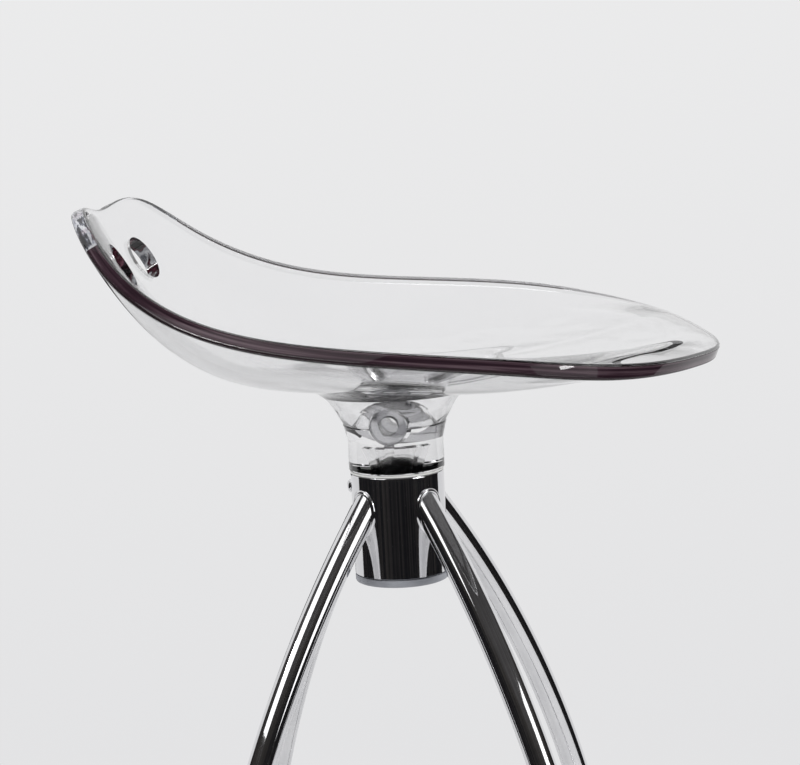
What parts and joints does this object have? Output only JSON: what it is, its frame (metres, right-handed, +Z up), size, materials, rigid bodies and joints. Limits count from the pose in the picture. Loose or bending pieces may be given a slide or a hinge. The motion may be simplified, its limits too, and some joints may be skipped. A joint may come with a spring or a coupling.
{
  "type": "bar stool",
  "caption": "Bar stool with a clear moulded bucket seat that swivels on a chromed column, bent tube legs and a round foot rest.",
  "frame": {"origin": "on the floor, on the axis of the column", "axes": "+Z up along the column, +X towards the front of the seat at rest, +Y to the sitter's left"},
  "size_m": [0.4616, 0.4616, 0.8836],
  "materials": {
    "seat_clear": "clear, polished",
    "bush_frosted": "frosted",
    "base_chrome": "polished",
    "plate_steel": "plain",
    "washer_nylon": "smooth",
    "sleeve_nylon": "smooth",
    "cap_grey": "satin",
    "glide_black": "satin"
  },
  "bodies": {
    "base": {"thrust_washer": "washer_nylon", "swivel_sleeve": "sleeve_nylon", "hub_tube": "base_chrome", "side_screw": "base_chrome", "hub_cap": "cap_grey", "foot_ring": "base_chrome", "leg_front_left": "base_chrome", "foot_glide_front_left": "glide_black", "leg_rear_left": "base_chrome", "foot_glide_rear_left": "glide_black", "leg_rear_right": "base_chrome", "foot_glide_rear_right": "glide_black", "leg_front_right": "base_chrome", "foot_glide_front_right": "glide_black"},
    "seat": {"seat": "seat_clear", "seat_stem": "seat_clear", "cross_bush_left": "bush_frosted", "cross_bush_right": "bush_frosted", "retaining_plate": "plate_steel", "plate_screw_1": "plate_steel", "plate_screw_2": "plate_steel", "plate_screw_3": "plate_steel"}
  },
  "joints": [
    {"name": "seat_swivel", "type": "hinge", "parent": "base", "child": "seat", "pos_m": [0, 0, 0.69], "axis": [0, 0, 1], "continuous": true}
  ]
}
